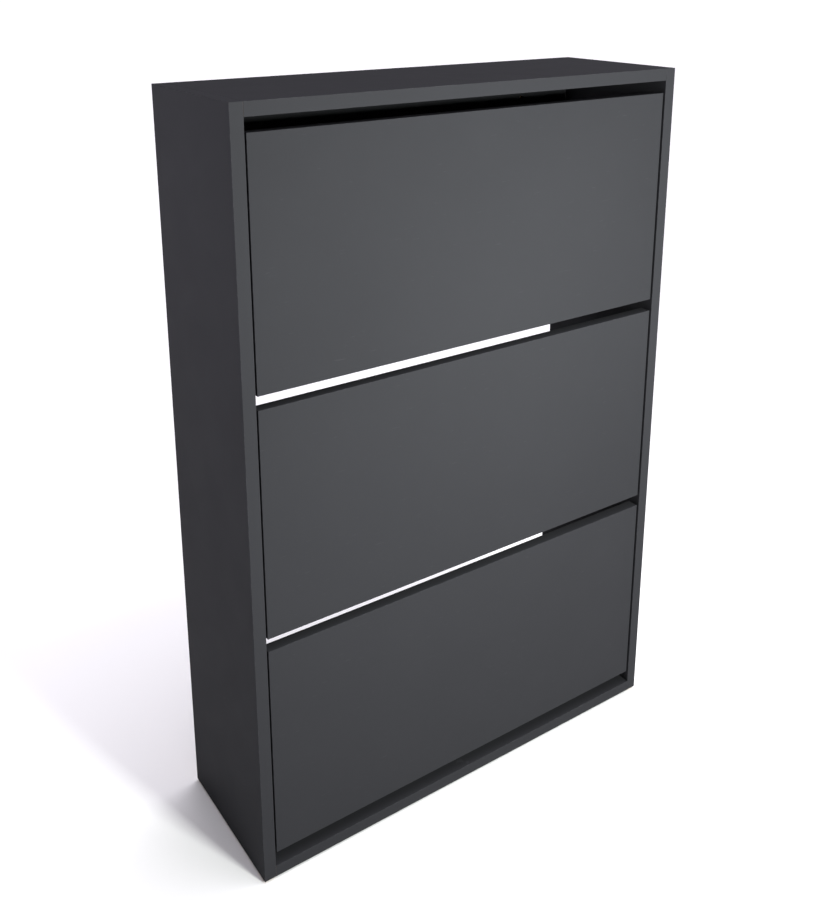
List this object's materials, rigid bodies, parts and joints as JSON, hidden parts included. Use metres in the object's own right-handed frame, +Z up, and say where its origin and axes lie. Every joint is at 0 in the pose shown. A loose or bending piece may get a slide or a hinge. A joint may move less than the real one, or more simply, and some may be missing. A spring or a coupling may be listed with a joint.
{
  "type": "shoe cabinet",
  "caption": "Slim upright shoe cabinet with plain tilt-out flaps, each carrying a two-tier shoe basket on side pivots; open back with cross rails.",
  "frame": {"origin": "middle of the cabinet's footprint, on the floor under the glides", "axes": "+Z up, X along the width, -Y out of the front with the flaps, +Y towards the wall"},
  "size_m": [0.73, 0.236, 1.093],
  "materials": {
    "carcass_board": "matt dark grey melamine on chipboard, edged",
    "flap_board": "matt dark grey melamine on chipboard, edged",
    "basket_board": "dark grey faced fibreboard",
    "moulded_plastic": "fine-grained black moulding",
    "sleeve_rubber": "matt black rubber",
    "zinc_steel": "zinc-plated steel",
    "beech": "plain fluted beech"
  },
  "bodies": {
    "carcass": {"side_panel_left": "carcass_board", "side_panel_right": "carcass_board", "top_panel": "carcass_board", "bottom_panel": "carcass_board", "lower_rear_rail": "carcass_board", "middle_rear_rail": "carcass_board", "upper_rear_rail": "carcass_board", "dowels": "beech", "cam_bolts": "zinc_steel", "cam_locks": "zinc_steel", "glides": "moulded_plastic", "glide_nails": "zinc_steel", "bracket_screws": "zinc_steel", "stop_pins": "zinc_steel", "stop_sleeves": "sleeve_rubber", "lower_pivot_bracket_left": "moulded_plastic", "lower_pivot_bracket_right": "moulded_plastic", "middle_pivot_bracket_left": "moulded_plastic", "middle_pivot_bracket_right": "moulded_plastic", "upper_pivot_bracket_left": "moulded_plastic", "upper_pivot_bracket_right": "moulded_plastic"},
    "lower_tilt_flap": {"lower_flap": "flap_board", "lower_flap_screws": "zinc_steel", "lower_end_plate_left": "moulded_plastic", "lower_end_plate_right": "moulded_plastic", "lower_basket_floor": "basket_board", "lower_basket_divider": "basket_board", "lower_basket_rear_wall": "basket_board"},
    "middle_tilt_flap": {"middle_flap": "flap_board", "middle_flap_screws": "zinc_steel", "middle_end_plate_left": "moulded_plastic", "middle_end_plate_right": "moulded_plastic", "middle_basket_floor": "basket_board", "middle_basket_divider": "basket_board", "middle_basket_rear_wall": "basket_board"},
    "upper_tilt_flap": {"upper_flap": "flap_board", "upper_flap_screws": "zinc_steel", "upper_end_plate_left": "moulded_plastic", "upper_end_plate_right": "moulded_plastic", "upper_basket_floor": "basket_board", "upper_basket_divider": "basket_board", "upper_basket_rear_wall": "basket_board"}
  },
  "joints": [
    {"name": "lower_flap_tilt", "type": "hinge", "parent": "carcass", "child": "lower_tilt_flap", "pos_m": [0, -0.0905, 0.054], "axis": [1, 0, 0], "range_deg": [0, 50]},
    {"name": "middle_flap_tilt", "type": "hinge", "parent": "carcass", "child": "middle_tilt_flap", "pos_m": [0, -0.0905, 0.3985], "axis": [1, 0, 0], "range_deg": [0, 50]},
    {"name": "upper_flap_tilt", "type": "hinge", "parent": "carcass", "child": "upper_tilt_flap", "pos_m": [0, -0.0905, 0.743], "axis": [1, 0, 0], "range_deg": [0, 50]}
  ]
}
